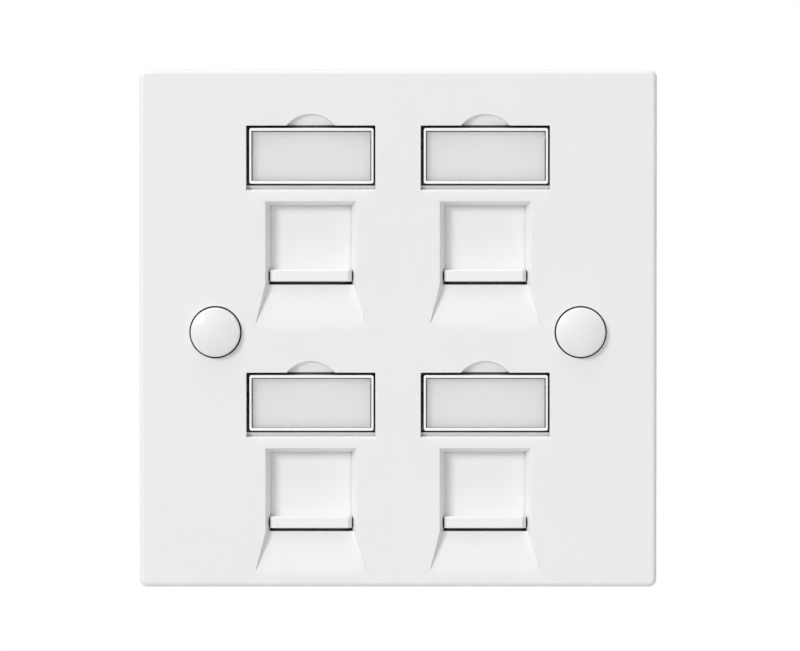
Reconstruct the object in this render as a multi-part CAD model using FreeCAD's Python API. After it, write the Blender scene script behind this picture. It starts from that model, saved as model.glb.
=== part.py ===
import FreeCAD, Part

import math
import os

V = FreeCAD.Vector

# Keystone faceplate with two rows of two shuttered ports, in millimetres.
# +X is right, +Z is up, and the room is on the -Y side. The wall is the plane y = 0.
# Depths are counted back from the front face, towards the wall.
# A port's own pieces are drawn about the centre of its label window and then put in place.

# ---- the plate ----
plate_side = 86.0
plate_depth = 9.0
face_wall = 2.4
rim_wall = 2.0
side_draft = 0.3
corner_round = 1.2
edge_round = 0.8
rim_relief_gap = 0.8

# ---- where the four ports lie ----
column_pitch = 28.8
row_pitch = 40.8
windows_mid_z = 7.6

# ---- label recess, fingernail scoop, window and card ----
recess_depth = 1.6
shelf_depth = 0.85
shelf_height = 0.65
groove_depth = 1.3
groove_rise = 0.45
groove_bevel_depth = 0.26
scoop_radius = 5.1
scoop_rise = 1.9
scoop_top_depth = 0.45
scoop_foot_depth = 1.0
window_width = 20.5
window_height = 9.2
window_side_gap = 0.4
window_top_gap = 0.4
window_foot_gap = 0.3
window_sink = 0.15
window_floor_gap = 0.05
window_shift = 0.1
window_corner = 0.35
window_rim = 0.48
window_side_rim = 0.35
window_rim_height = 0.2
window_lug_length = 2.4
window_lug_thickness = 0.3
window_lug_gap = 0.05
card_thickness = 0.2
card_gap = 0.18
card_foot_gap = 0.03
nib_length = 0.9
nib_below_pocket_top = 0.3

# ---- port opening and ramp ----
port_web = 1.5
port_width = 15.0
port_height = 13.75
port_side_draft = 0.35
port_top_draft = 0.3
ramp_length = 6.65
ramp_depth = 1.5
ramp_foot_width = 18.3
ramp_pad_margin = 1.2

# ---- shutter and the slot that it slides in ----
shutter_thickness = 1.2
slide_gap = 0.15
side_gap = 0.2
shutter_overlap = 1.2
shutter_top_above_port = 4.0
lip_gap = 0.5
lip_height = 1.9
lip_sink = 0.45
lip_bevel_width = 0.65
lip_bevel_depth = 1.0
lip_edge_round = 0.22
lip_side_gap = 0.2
travel_end_gap = 0.2
stop_gap = 0.15
stop_height = 0.65
rail_width = 1.4
rail_over_travel = 1.3

# ---- spring and its seats ----
spring_length = 14.0
spring_coil_width = 3.12
spring_wire = 0.36
spring_turns = 6.0
runs_a_turn = 10
wire_sides = 4
spring_seat_gap = 0.03
spring_back_gap = 0.5
seat_half_width = 1.9
seat_height = 1.6
stem_width = 1.5
stem_length = 1.6

# ---- jack carrier ----
carrier_wall = 1.2
flange_thickness = 1.5
flange_margin = 0.65
bay_width = 14.8
bay_height = 16.1
bay_below_port = 1.5
bay_length = 9.1
jack_stop = 0.8
sill_above_slot = 0.4
catch_height = 0.7
catch_length = 1.6
tongue_width = 6.0
tongue_slit = 0.8
trough_gap = 0.3

# ---- snap hooks that hold a carrier ----
hook_gap = 0.15
hook_thickness = 1.1
hook_width = 4.6
hook_bite = 0.55
hook_nose = 1.1
low_hook_rise = 3.0
high_hook_rise = 8.0
top_hook_rise = 9.5

# ---- screws, their towers and caps ----
screw_spacing = 60.3
screw_line_z = -0.6
bore_width = 8.6
bore_depth = 4.6
tower_wall = 1.3
tower_floor = 2.0
screw_hole_gap = 0.3
thread_width = 3.5
neck_width = 3.0
neck_past_floor = 0.2
screw_length = 25.0
screw_point = 0.7
head_width = 6.6
head_height = 2.3
head_bevel = 0.6
cross_width = 0.9
cross_length = 3.6
cross_depth = 1.3
cap_width = 8.15
cap_stand = 1.15
cap_dome = 0.6
cap_edge_round = 0.4
cap_skin = 1.1
cap_skirt_wall = 0.6
cap_floor_gap = 0.1
cap_rib_gap = 0.08
cap_rib_width = 0.6

# ---- tools ----
past = 0.5

# ---- places that follow from the sizes above ----
recess_width = window_width + 2 * window_side_gap
window_room = window_top_gap + window_height + window_foot_gap
recess_height = window_room + shelf_height + groove_rise
recess_top = recess_height / 2
recess_bottom = -recess_height / 2
window_top = recess_top - window_top_gap
window_bottom = window_top - window_height
shelf_top = recess_top - window_room
port_top = recess_bottom - port_web
port_bottom = port_top - port_height
ramp_foot = port_bottom - ramp_length

shutter_front = face_wall + slide_gap
shutter_back = shutter_front + shutter_thickness
carrier_front = shutter_back + slide_gap
port_half = port_width / 2
inner_half = port_half - port_side_draft * face_wall
inner_top = port_top - port_top_draft * face_wall
shutter_half = inner_half + shutter_overlap
shutter_bottom = port_bottom + lip_gap
shutter_top = port_top + shutter_top_above_port
lip_top = shutter_bottom + lip_height
shutter_travel = inner_top - travel_end_gap - lip_top
rail_inner = shutter_half + side_gap
rail_outer = rail_inner + rail_width
rail_top = shutter_top + shutter_travel + rail_over_travel

spring_foot = shutter_top
spring_stop = spring_foot + spring_length
spring_depth = shutter_back + spring_back_gap + spring_coil_width / 2
seat_back = spring_depth + spring_coil_width / 2
trough_half = seat_half_width + trough_gap
trough_back = seat_back + trough_gap
carrier_top = spring_stop + carrier_wall

bay_bottom = port_bottom - bay_below_port
bay_top = bay_bottom + bay_height
sill_top = shutter_bottom + sill_above_slot
bay_half = bay_width / 2
bay_outer_half = bay_half + carrier_wall
flange_back = carrier_front + flange_thickness
flange_half = rail_outer + flange_margin
flange_bottom = bay_bottom - carrier_wall - flange_margin
bay_back = flange_back + bay_length

tower_half = bore_width / 2 + tower_wall
cap_depth = bore_depth - cap_floor_gap
head_top = bore_depth - head_height

PORTS = {
    "upper_left": (-1, 1),
    "upper_right": (1, 1),
    "lower_left": (-1, -1),
    "lower_right": (1, -1),
}
SIDES = {"left": -1, "right": 1}


def y_at(depth):
    """The y of a depth behind the front face."""
    return depth - plate_depth


def port_place(column, row):
    """Centre of a port's label window."""
    return V(column * column_pitch / 2, 0, windows_mid_z + row * row_pitch / 2)


def screw_place(side):
    return V(side * screw_spacing / 2, 0, screw_line_z)


def moved(shape, place):
    copy = shape.copy()
    copy.translate(place)
    return copy


def block(x0, x1, d0, d1, z0, z1):
    """A straight block between two x, two depths and two z."""
    return Part.makeBox(x1 - x0, d1 - d0, z1 - z0, V(x0, y_at(d0), z0))


def rod(width, d0, d1):
    """A round bar along y, centred on the y axis."""
    return Part.makeCylinder(width / 2, d1 - d0, V(0, y_at(d0), 0), V(0, 1, 0))


def faceted(points, faces):
    """A solid with flat faces. Each face lists its corners by name."""
    sides = []
    for corners in faces:
        wire = Part.makePolygon([V(*points[c]) for c in corners + corners[:1]])
        sides.append(Part.Face(wire))
    solid = Part.makeSolid(Part.makeShell(sides))
    if solid.Volume < 0:
        solid.reverse()
    return solid


def ring_faces():
    """The faces of a block whose corners are f0 to f3 in front and b0 to b3 behind."""
    ends = [[f"{name}{i}" for i in range(4)] for name in "fb"]
    walls = [[f"f{i}", f"f{(i + 1) % 4}", f"b{(i + 1) % 4}", f"b{i}"] for i in range(4)]
    return ends + walls


def prism(outline, direction):
    """A closed outline of 3-D points pushed along a direction."""
    wire = Part.makePolygon([V(*p) for p in outline + outline[:1]])
    return Part.Face(wire).extrude(V(*direction))


def turned(profile, crown=None):
    """A closed profile of (radius, depth) corners turned round the y axis.

    A crown is the middle point of an arc that takes the place of the first straight side.
    """
    corners = [V(radius, y_at(depth), 0) for radius, depth in profile]
    edges = [Part.makeLine(start, end) for start, end in zip(corners, corners[1:] + corners[:1])]
    if crown:
        edges[0] = Part.Arc(corners[0], V(crown[0], y_at(crown[1]), 0), corners[1]).toShape()
    return Part.Face(Part.Wire(edges)).revolve(V(0, 0, 0), V(0, 1, 0), 360)


def fused(first, others):
    return first.fuse(others).removeSplitter() if others else first


def drafted_square(inset, radius, d0, d1):
    """A square block with round corners, whose sides lie an inset inside the plate's leaning sides."""
    points = {}
    for name, depth in (("f", d0), ("b", d1)):
        half = plate_side / 2 - inset - side_draft * (1 - depth / plate_depth)
        y = y_at(depth)
        for corner, (x, z) in enumerate(((-half, -half), (half, -half), (half, half), (-half, half))):
            points[f"{name}{corner}"] = (x, y, z)
    body = faceted(points, ring_faces())
    upright = [e for e in body.Edges if e.BoundBox.YLength > (d1 - d0) / 2]
    return body.makeFillet(radius, upright)


# ---- front plate ----
def plate_shell():
    """The open tray: a drafted square with a rounded front edge, hollow from the wall side."""
    outer = drafted_square(0, corner_round, 0, plate_depth)
    front = [e for e in outer.Edges if e.BoundBox.YMax < y_at(edge_round / 2)]
    outer = outer.makeFillet(edge_round, front)
    inner = drafted_square(rim_wall, corner_round / 2, face_wall, plate_depth + past)
    return outer.cut(inner)


def hook(outer, z_mid):
    """A snap hook on the right of a carrier: an arm with a nose that leans over the flange."""
    root = outer + hook_gap
    back = flange_back + hook_gap
    outline = [
        (root, y_at(face_wall - past), z_mid - hook_width / 2),
        (root + hook_thickness, y_at(face_wall - past), z_mid - hook_width / 2),
        (root + hook_thickness, y_at(back + hook_nose), z_mid - hook_width / 2),
        (root, y_at(back + hook_nose), z_mid - hook_width / 2),
        (root - hook_bite, y_at(back + hook_bite / 2), z_mid - hook_width / 2),
        (root - hook_bite, y_at(back), z_mid - hook_width / 2),
        (root, y_at(back), z_mid - hook_width / 2),
    ]
    return prism(outline, (0, 0, hook_width))


def both_sides(shape):
    """The shape and its mirror image across the port's middle plane."""
    return [shape, shape.mirror(V(0, 0, 0), V(1, 0, 0))]


def port_backing():
    """What stands behind the face at one port: ramp pad, guide rails, shutter stops and hooks."""
    root = face_wall - past
    foot = ramp_foot - ramp_pad_margin
    pad = block(-rail_outer, rail_outer, root, carrier_front, foot, port_bottom)
    rail = block(rail_inner, rail_outer, root, carrier_front, port_bottom - past, rail_top)
    stop_foot = shutter_bottom - stop_gap - stop_height
    stop_inner = inner_half + stop_gap
    stop = block(stop_inner, rail_outer, root, carrier_front, stop_foot, shutter_bottom - stop_gap)
    pieces = [pad] + both_sides(rail) + both_sides(stop)
    pieces += both_sides(hook(flange_half, bay_bottom + low_hook_rise))
    pieces += both_sides(hook(flange_half, bay_bottom + high_hook_rise))
    pieces += both_sides(hook(rail_outer, bay_top + top_hook_rise))
    return pieces


def scoop_cutter():
    """A shallow round scoop whose floor deepens towards the label recess."""
    middle = recess_top + scoop_rise - scoop_radius
    disc = Part.makeCylinder(
        scoop_radius, recess_depth + past, V(0, y_at(-past), middle), V(0, 1, 0)
    )
    top = recess_top + scoop_rise
    slope = (scoop_foot_depth - scoop_top_depth) / scoop_rise
    low = recess_top - past
    outline = [
        (-scoop_radius, y_at(-past), low),
        (-scoop_radius, y_at(-past), top),
        (-scoop_radius, y_at(scoop_top_depth), top),
        (-scoop_radius, y_at(scoop_foot_depth + slope * past), low),
    ]
    return disc.common(prism(outline, (2 * scoop_radius, 0, 0)))


def recess_cutter():
    """The label recess. Its floor steps up below the window, leans back into a groove and ends in a bevel."""
    half = recess_width / 2
    slope = groove_rise / groove_bevel_depth
    outline = [
        (-half, y_at(-past), recess_top),
        (-half, y_at(recess_depth), recess_top),
        (-half, y_at(recess_depth), shelf_top),
        (-half, y_at(shelf_depth), shelf_top),
        (-half, y_at(groove_depth), recess_bottom + groove_rise),
        (-half, y_at(groove_bevel_depth), recess_bottom + groove_rise),
        (-half, y_at(-past), recess_bottom - slope * past),
    ]
    return prism(outline, (recess_width, 0, 0))


def port_cutter():
    """The port opening, whose sides and top draw in towards the shutter."""
    points = {}
    for name, depth in (("f", -past), ("b", face_wall + past)):
        half = port_half - port_side_draft * depth
        top = port_top - port_top_draft * depth
        y = y_at(depth)
        points[name + "0"] = (-half, y, port_bottom)
        points[name + "1"] = (half, y, port_bottom)
        points[name + "2"] = (half, y, top)
        points[name + "3"] = (-half, y, top)
    return faceted(points, ring_faces())


def ramp_cutter():
    """The ramp below a port: its floor rises to the face while its sides flare and fade out."""
    deep_half = port_half - port_side_draft * ramp_depth
    foot_half = ramp_foot_width / 2
    run = past / ramp_depth
    front_half = port_half + port_side_draft * past
    far_half = foot_half + (foot_half - deep_half) * run
    far_z = ramp_foot - ramp_length * run
    points = {}
    for name, sign in (("l", -1), ("r", 1)):
        points[name + "a"] = (sign * front_half, y_at(-past), port_bottom)
        points[name + "b"] = (sign * far_half, y_at(-past), far_z)
        points[name + "c"] = (sign * deep_half, y_at(ramp_depth), port_bottom)
    faces = [["la", "ra", "rb", "lb"], ["lb", "rb", "rc", "lc"], ["la", "lc", "rc", "ra"]]
    faces += [["la", "lb", "lc"], ["ra", "rc", "rb"]]
    return faceted(points, faces)


def carrier_room():
    """The room that a carrier needs behind the face, so that it can be tilted in past its hooks."""
    half = flange_half + rim_relief_gap
    low = flange_bottom - rim_relief_gap
    high = carrier_top + rim_relief_gap
    return block(-half, half, face_wall, plate_depth + past, low, high)


def front_plate():
    towers = []
    bores = []
    hole_width = thread_width + 2 * screw_hole_gap
    for side in SIDES.values():
        place = screw_place(side)
        tower_back = bore_depth + tower_floor
        towers.append(moved(rod(2 * tower_half, face_wall - past, tower_back), place))
        bores.append(moved(rod(bore_width, -past, bore_depth), place))
        bores.append(moved(rod(hole_width, 0, tower_back + past), place))
    backing = port_backing()
    cutters = [recess_cutter(), scoop_cutter(), port_cutter(), ramp_cutter()]
    rooms = []
    backs = []
    cuts = []
    for column, row in PORTS.values():
        place = port_place(column, row)
        rooms.append(moved(carrier_room(), place))
        backs += [moved(piece, place) for piece in backing]
        cuts += [moved(piece, place) for piece in cutters]
    shell = plate_shell().cut(rooms)
    return fused(shell, towers + backs).cut(bores + cuts).removeSplitter()


# ---- shutter and spring ----
def shutter():
    """A flat door with a finger lip in front, and a spring seat with a stem behind its top."""
    panel = block(-shutter_half, shutter_half, shutter_front, shutter_back, shutter_bottom, shutter_top)

    def lip_half(depth):
        return port_half - port_side_draft * depth - lip_side_gap

    waist = lip_sink + lip_bevel_depth
    root = shutter_front + shutter_thickness / 2
    corners = [(lip_half(waist) - lip_bevel_width, lip_sink), (lip_half(waist), waist)]
    corners += [(lip_half(shutter_front), shutter_front), (lip_half(shutter_front), root)]
    right = [(half, y_at(depth), shutter_bottom) for half, depth in corners]
    left = [(-x, y, z) for x, y, z in reversed(right)]
    lip = prism(right + left, (0, 0, lip_height))
    front = [
        e
        for e in lip.Edges
        if abs(e.BoundBox.YMax - y_at(lip_sink)) < 0.001 and e.BoundBox.XLength > port_half
    ]
    lip = lip.makeFillet(lip_edge_round, front)
    seat_foot = shutter_top - seat_height
    seat = block(-seat_half_width, seat_half_width, shutter_front, seat_back, seat_foot, shutter_top)
    return fused(panel, [lip, seat, spring_stem(shutter_top, 1)])


def spring_stem(z, way):
    """A short pin that keeps an end of the spring in place."""
    return Part.makeCylinder(stem_width / 2, stem_length, V(0, y_at(spring_depth), z), V(0, 0, way))


def spring():
    """A compression coil of short straight runs, between the shutter's seat and the carrier's stop."""
    radius = (spring_coil_width - spring_wire) / 2
    end = spring_seat_gap + spring_wire / 2
    height = spring_length - 2 * end
    runs = round(spring_turns * runs_a_turn)
    path = []
    for step in range(runs + 1):
        turn = 2 * math.pi * step / runs_a_turn
        path.append(V(radius * math.cos(turn), radius * math.sin(turn), height * step / runs))
    section = []
    for corner in range(wire_sides):
        turn = 2 * math.pi * (corner + 0.5) / wire_sides
        out, up = math.cos(turn) * spring_wire / 2, math.sin(turn) * spring_wire / 2
        section.append(V(radius + out, 0, up))
    wire = Part.makePolygon(section + section[:1])
    coil = Part.makePolygon(path).makePipeShell([wire], True, False, 1)
    return moved(coil, V(0, y_at(spring_depth), spring_foot + end))


# ---- jack carrier ----
def jack_carrier():
    """A flange that covers the shutter's slot, the bay for a jack, and the spring's trough."""
    back = trough_back + carrier_wall
    low = bay_bottom - carrier_wall
    high = bay_top + carrier_wall
    trough_outer = trough_half + carrier_wall
    flange = block(-flange_half, flange_half, carrier_front, flange_back, flange_bottom, high)
    neck = block(-rail_outer, rail_outer, carrier_front, flange_back, bay_top, carrier_top)
    trough = block(-trough_outer, trough_outer, carrier_front, back, bay_top, carrier_top)
    bay = block(-bay_outer_half, bay_outer_half, carrier_front, bay_back, low, high)
    body = fused(flange, [neck, trough, bay])

    cut_front = carrier_front - past
    cut_back = bay_back + past
    seat_foot = shutter_top - seat_height - trough_gap
    channel = block(-trough_half, trough_half, cut_front, trough_back, seat_foot, spring_stop)
    hollow = block(-bay_half, bay_half, flange_back, cut_back, bay_bottom, bay_top)
    mouth = block(-bay_half, bay_half, cut_front, flange_back + past, sill_top, bay_top - jack_stop)
    slit_inner = tongue_width / 2
    slit_outer = slit_inner + tongue_slit
    slit_front = flange_back + carrier_wall
    slit = block(slit_inner, slit_outer, slit_front, cut_back, bay_top - past, high + past)
    body = body.cut([channel, hollow, mouth] + both_sides(slit))

    def catch(z, way, half):
        """A ridge across the bay, square towards the jack and sloped towards the mouth."""
        outline = [
            (-half, y_at(bay_back), z + way * past),
            (-half, y_at(bay_back), z),
            (-half, y_at(bay_back - catch_length), z - way * catch_height),
            (-half, y_at(bay_back - catch_length), z + way * past),
        ]
        return prism(outline, (2 * half, 0, 0))

    catches = [catch(bay_top, 1, tongue_width / 2), catch(bay_bottom, -1, tongue_width / 2)]
    return fused(body, [spring_stem(spring_stop, -1)] + catches)


# ---- label window and card ----
def label_window():
    """A clear tray with a thin rim in front and a pocket for the card behind.

    A lug on each side snaps into the recess, and a nib in the pocket keeps the card to the left.
    """
    half = window_width / 2
    back = recess_depth - window_floor_gap
    body = block(-half, half, window_sink, back, window_bottom, window_top)
    upright = [e for e in body.Edges if e.BoundBox.YLength > back / 2]
    body = body.makeFillet(window_corner, upright)
    inner = half - window_side_rim
    low, high = window_bottom + window_rim, window_top - window_rim
    face = block(-inner, inner, window_sink - past, window_sink + window_rim_height, low, high)
    pocket_front = recess_depth - card_thickness - card_gap
    pocket = block(-inner, inner, pocket_front, back + past, low, high)
    body = body.cut([face, pocket])
    nib_top = high - nib_below_pocket_top
    nib_inner = inner - card_gap + card_foot_gap
    pieces = [block(nib_inner, half - window_side_rim / 2, pocket_front, back, nib_top - nib_length, nib_top)]
    middle = (window_top + window_bottom) / 2
    foot, head = middle - window_lug_length / 2, middle + window_lug_length / 2
    for side in SIDES.values():
        reach = recess_width / 2 - side * window_shift - window_lug_gap
        ends = sorted([side * (half - window_side_rim / 2), side * reach])
        pieces.append(block(ends[0], ends[1], back - window_lug_thickness, back, foot, head))
    return moved(fused(body, pieces), V(window_shift, 0, 0))


def label_card():
    """A paper card that stands on the foot of the window's pocket and lies on the recess floor."""
    half = window_width / 2 - window_side_rim - card_gap
    top = window_top - window_rim - card_gap
    bottom = window_bottom + window_rim + card_foot_gap
    card = block(-half, half, recess_depth - card_thickness, recess_depth, bottom, top)
    return moved(card, V(window_shift, 0, 0))


# ---- screws and caps ----
def mounting_screw():
    """A pan head screw with a cross recess, drawn at its thread's outer width."""
    head = head_width / 2
    crown = head - head_bevel
    neck = neck_width / 2
    thread = thread_width / 2
    thread_start = bore_depth + tower_floor + neck_past_floor
    tip = bore_depth + screw_length
    profile = [
        (0, head_top),
        (crown, head_top),
        (head, head_top + head_bevel),
        (head, bore_depth),
        (neck, bore_depth),
        (neck, thread_start - (thread - neck)),
        (thread, thread_start),
        (thread, tip - screw_point),
        (thread - screw_point, tip),
        (0, tip),
    ]
    long, wide = cross_length / 2, cross_width / 2
    cross = [
        block(-across, across, head_top - past, head_top + cross_depth, -up, up)
        for across, up in ((long, wide), (wide, long))
    ]
    return turned(profile).cut(cross)


def screw_cap():
    """A low domed cap on a skirt, with three crush ribs that grip the counterbore."""
    outer = cap_width / 2
    inner = outer - cap_skirt_wall
    shoulder = -cap_stand
    flat = outer - cap_edge_round
    slant = cap_edge_round * math.sqrt(0.5)
    top = shoulder - cap_dome
    dome_radius = (flat**2 + cap_dome**2) / (2 * cap_dome)
    half_way = flat / 2
    sag = dome_radius - math.sqrt(dome_radius**2 - half_way**2)
    profile = [
        (0, top),
        (flat, shoulder),
        (flat + slant, shoulder + cap_edge_round - slant),
        (outer, shoulder + cap_edge_round),
        (outer, cap_depth),
        (inner, cap_depth),
        (inner, cap_skin),
        (0, cap_skin),
    ]
    cap = turned(profile, crown=(half_way, top + sag))
    rib_reach = bore_width / 2 - cap_rib_gap
    root = outer - cap_skirt_wall / 2
    ribs = []
    for third in range(3):
        rib = block(root, rib_reach, cap_depth / 2, cap_depth, -cap_rib_width / 2, cap_rib_width / 2)
        rib.rotate(V(0, 0, 0), V(0, 1, 0), 90 + 120 * third)
        ribs.append(rib)
    return fused(cap, ribs)


def build():
    """Every node's solid by name."""
    nodes = {"front_plate": front_plate()}
    port_pieces = {
        "shutter": shutter(),
        "shutter_spring": spring(),
        "jack_carrier": jack_carrier(),
        "label_window": label_window(),
        "label_card": label_card(),
    }
    for port, (column, row) in PORTS.items():
        for name, piece in port_pieces.items():
            nodes[f"{name}_{port}"] = moved(piece, port_place(column, row))
    cap = screw_cap()
    screw = mounting_screw()
    for side, sign in SIDES.items():
        nodes[f"screw_cap_{side}"] = moved(cap, screw_place(sign))
        nodes[f"mounting_screw_{side}"] = moved(screw, screw_place(sign))
    return nodes


os.makedirs("parts", exist_ok=True)
for node, shape in build().items():
    shape.exportStep(f"parts/{node}.step")
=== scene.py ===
import math
from typing import NamedTuple

import bmesh
import bpy
from bpy.props import FloatProperty, FloatVectorProperty, PointerProperty
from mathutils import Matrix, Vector
from mathutils.geometry import intersect_point_line


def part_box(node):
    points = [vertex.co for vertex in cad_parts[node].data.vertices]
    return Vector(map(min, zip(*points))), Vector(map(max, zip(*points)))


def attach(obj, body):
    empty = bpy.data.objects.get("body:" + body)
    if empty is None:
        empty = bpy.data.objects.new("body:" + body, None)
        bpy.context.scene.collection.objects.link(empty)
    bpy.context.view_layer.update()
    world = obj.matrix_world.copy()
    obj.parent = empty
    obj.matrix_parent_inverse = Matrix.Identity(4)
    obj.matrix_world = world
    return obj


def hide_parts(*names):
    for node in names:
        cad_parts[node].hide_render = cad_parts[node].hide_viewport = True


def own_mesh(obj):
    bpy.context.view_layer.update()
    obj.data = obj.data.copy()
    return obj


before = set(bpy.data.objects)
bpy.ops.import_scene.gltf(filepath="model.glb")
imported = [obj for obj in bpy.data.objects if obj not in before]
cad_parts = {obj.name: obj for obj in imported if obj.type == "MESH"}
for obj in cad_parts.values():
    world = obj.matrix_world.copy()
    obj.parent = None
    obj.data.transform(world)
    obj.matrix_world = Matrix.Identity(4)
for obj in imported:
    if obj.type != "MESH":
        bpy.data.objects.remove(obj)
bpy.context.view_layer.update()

bl_info = {
    "name": "Keystone Faceplate",
    "version": (1, 0, 0),
    "blender": (4, 5, 0),
    "location": "View3D > Sidebar > Faceplate",
    "description": "Dresses a square faceplate with shuttered keystone ports and sets its stage",
    "category": "Object",
}

MM = 0.001
PORTS = ("upper_left", "upper_right", "lower_left", "lower_right")
SIDES = ("left", "right")

# How a CAD mesh is read before its edges are rounded.
SHARP = math.radians(35)  # least angle at an edge that is rounded or creased
FLAT = math.radians(0.5)  # most angle between two faces that are one flat
SAME_POINT = 0.0005 * MM  # points nearer than this are one
SQUARE = 0.001 * MM  # most that an edge square to an axis leans along it
CELL_LINE = 1.5 * MM  # least length of a sharp edge that the cells of a flat follow
CELL = 0.5 * MM  # least width of a cell
CUT_SNAP = 0.03 * MM  # a cut between cells runs through points nearer than this
CELL_ROOM = 2.0  # least room between a cell's side and a sharp edge, in widths of the rounding
EDGE_ROOM = 2.5  # least room between two sharp edges that get their whole width of rounding, likewise
ALONG = 0.01  # share of an edge's length by which a point beside it may lie past its ends
FACING = 0.5  # least share of a normal along y on a face that shows from the front

# Real sizes of the surfaces' patterns, and what the plastics do to light.
FLOW_SHADE = 18 * MM  # spacing of the faint shades that the plastic's flow leaves
POLISH_WAVE = 3 * MM  # spacing of the waves in a polished moulding
WINDOW_WAVE = 4 * MM  # spacing of the waves in a label window
FROST = 0.15 * MM  # grain that a blasted tool leaves
FIBRE = 1.2 * MM  # length of a card's fibres
FIBRE_SHAPE = 4.0  # length of a fibre in widths
ABS_IOR = 1.53
POLYCARBONATE_IOR = 1.585
RIM_PASSES = 0.7  # share of a lamp's light that passes a label window's rim
FLOOR_GLOW = 0.7  # share of plain white in what the floor shows


# ---- values that a user would change ----
def linear(hex_colour):
    """The linear colour of an sRGB hex value."""
    channels = [int(hex_colour[i : i + 2], 16) / 255 for i in (1, 3, 5)]
    return [c / 12.92 if c <= 0.04045 else ((c + 0.055) / 1.055) ** 2.4 for c in channels]


def length(name, description, millimetres):
    """A length that the panel shows, given in millimetres."""
    return FloatProperty(
        name=name, description=description, default=millimetres * MM, min=0.0, precision=5, unit="LENGTH"
    )


def colour(name, description, hex_colour):
    """A colour that the panel shows, given as an sRGB hex value."""
    return FloatVectorProperty(
        name=name, description=description, default=linear(hex_colour), min=0.0, max=1.0, size=3,
        subtype="COLOR",
    )


class FaceplateSizes(bpy.types.PropertyGroup):
    plate_edge: length("Plate edge", "Radius that the mould leaves on the plate's sharp edges", 0.08)
    shutter_edge: length("Shutter edge", "Radius on the shutters' edges", 0.08)
    window_edge: length("Window edge", "Radius on the label windows' edges", 0.06)
    window_rim: length("Window rim", "Height of a label window's rim above and below its pane", 0.48)
    window_side_rim: length("Window side rim", "Width of a label window's rim beside its pane", 0.35)
    nib: length("Card nib", "How far the nib in a label window's pocket reaches in", 0.15)
    groove_foot: length("Groove place", "How far the finger groove starts below a label window", 0.32)
    groove: length("Groove", "Height of the finger groove below a label window", 1.2)
    carrier_edge: length("Carrier edge", "Radius on the jack carriers' edges", 0.12)
    cap_dome: length("Cap dome", "Height of a screw cap's crown above its shoulder", 0.6)
    cap_round: length("Cap rounding", "Radius round a screw cap's shoulder", 0.4)
    cap_skin: length("Cap skin", "Depth of a screw cap's underside behind the plate's face", 1.1)
    cap_skirt: length("Cap skirt", "Wall of the skirt that enters the counterbore", 0.6)
    cap_rib: length("Cap rib", "Width of each crush rib on the skirt", 0.6)
    wire: length("Spring wire", "Diameter of the shutter springs' wire", 0.3)
    head_width: length("Screw head width", "Width of a screw's pan head", 6.6)
    head_height: length("Screw head height", "Height of a screw's pan head", 2.3)
    head_round: length("Screw head rounding", "Radius round the top of a screw's head", 0.9)
    neck_width: length("Screw neck", "Width of the plain neck under a screw's head", 3.0)
    neck_length: length("Screw neck length", "Length of the plain neck under a screw's head", 2.2)
    thread_width: length("Thread width", "Outer width of the screws' threads", 3.5)
    thread_pitch: length("Thread pitch", "Distance between the screws' threads", 0.6)
    thread_depth: length("Thread depth", "Depth of the screws' threads", 0.36)
    screw_point: length("Screw point", "Length of the plain point past a screw's thread", 0.7)
    cross_length: length("Cross recess length", "Length of the cross recess across a screw's head", 3.6)
    cross_width: length("Cross recess width", "Width of each slot of the cross recess", 0.9)
    cross_depth: length("Cross recess depth", "Depth of the cross recess", 1.3)
    coil_turns: FloatProperty(
        name="Spring turns", description="Turns in each shutter spring", default=11.0, min=2.0
    )
    closed_turns: FloatProperty(
        name="Closed turns", description="Turns that lie flat at each end of a spring", default=1.0, min=0.0
    )


class FaceplateColours(bpy.types.PropertyGroup):
    plate: colour("Plate", "White ABS of the plate", "#EEEEED")
    shutter: colour("Shutter", "White ABS of the shutters", "#F2F2F1")
    carrier: colour("Carrier", "Uncoated white ABS of the jack carriers", "#E4E4E0")
    cap: colour("Cap", "Polished white ABS of the screw caps", "#ECECEB")
    # painted shade: the near-black that every moulding is painted with where walls close in round it
    gap: colour("Gap", "Shade deep inside a narrow gap", "#060606")
    window: colour("Window", "Tint of the clear polycarbonate", "#FEFEFE")
    rim: colour("Rim", "Frosted rim of the label windows", "#FBFBFA")
    card: colour("Card", "Uncoated label card", "#E9E9E7")
    spring: colour("Spring", "Drawn spring wire", "#B9B9BB")
    screw: colour("Screw", "Zinc plating on the screws", "#C9CCD0")
    floor: colour("Floor", "Pale studio floor", "#DADADA")


class FaceplateStage(bpy.types.PropertyGroup):
    camera_distance: length("Camera distance", "From the camera to the plate's face", 950.0)
    camera_height: FloatProperty(
        name="Camera height angle", description="How far the camera looks down",
        default=math.radians(1.6), subtype="ANGLE",
    )
    view_width: length("View width", "Width of the view at the plate's face", 132.1)
    aim_across: length("Aim across", "How far right of the plate's middle the camera aims", 0.32)
    aim_up: length("Aim up", "How far above the plate's middle the camera aims", 0.5)
    key: FloatProperty(name="Key light", description="Level of the key light", default=0.495)
    low: FloatProperty(name="Low light", description="Level of the soft light low in front", default=0.06)
    top: FloatProperty(name="Top light", description="Level of the soft light above", default=0.33)
    back: FloatProperty(name="Back light", description="Level of the soft light behind", default=0.32)
    fill: FloatProperty(name="Fill", description="Level of the light from all round", default=0.39)
    floor_drop: length("Floor drop", "How far the floor lies below the plate", 120.0)


def sizes():
    """The sizes that the panel shows."""
    return bpy.context.scene.faceplate_sizes


def colours():
    """The colours that the panel shows."""
    return bpy.context.scene.faceplate_colours


# ---- nodes ----
class PaintedGapShade(NamedTuple):
    """How painted shade darkens a moulding's colour in its gaps: walls count within reach, and shut and
    clear are the open shares of the sky at which the painted shade is full and gone."""

    reach: float
    shut: float
    clear: float


def live(sockets, name):
    """The socket at this place, or the one in use with this name."""
    if isinstance(name, int):
        return sockets[name]
    return next(socket for socket in sockets if socket.name == name and socket.enabled)


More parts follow.
